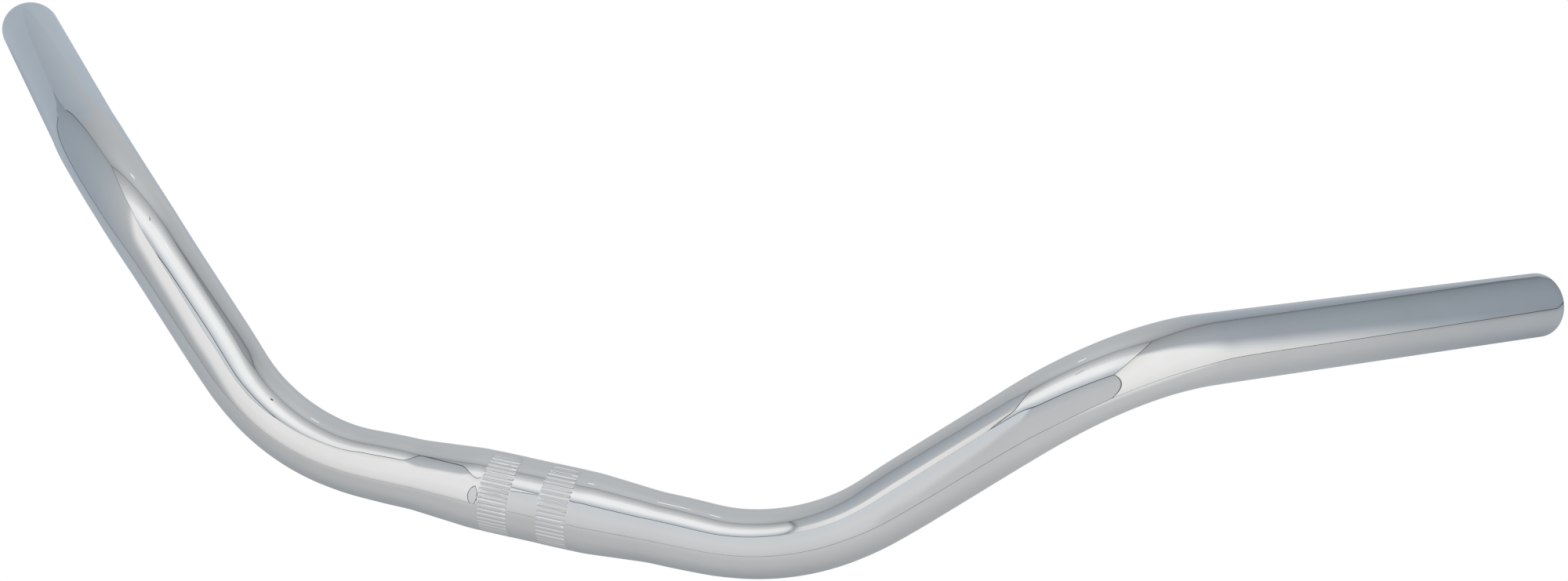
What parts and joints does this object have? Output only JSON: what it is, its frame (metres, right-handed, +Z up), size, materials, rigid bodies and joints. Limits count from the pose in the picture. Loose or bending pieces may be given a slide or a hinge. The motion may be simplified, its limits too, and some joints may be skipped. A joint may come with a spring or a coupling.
{
  "type": "handlebar",
  "caption": "Swept-back handlebar in bright plated tube, with a swollen, knurled middle for the stem to clamp and straight open ends for grips.",
  "frame": {"origin": "middle of the clamp swell, on the tube's axis", "axes": "+X along the clamp axis to the rider's right, +Y back towards the rider, +Z up, with the bar lying as it rests on a table on its swell and both ends; turned nose up by 22.55 degrees about X, its grips are level"},
  "size_m": [0.6068, 0.2168, 0.0749],
  "materials": {
    "chrome_plate": "mirror-polished plating"
  },
  "bodies": {
    "root": {"bar_tube": "chrome_plate"}
  },
  "joints": []
}
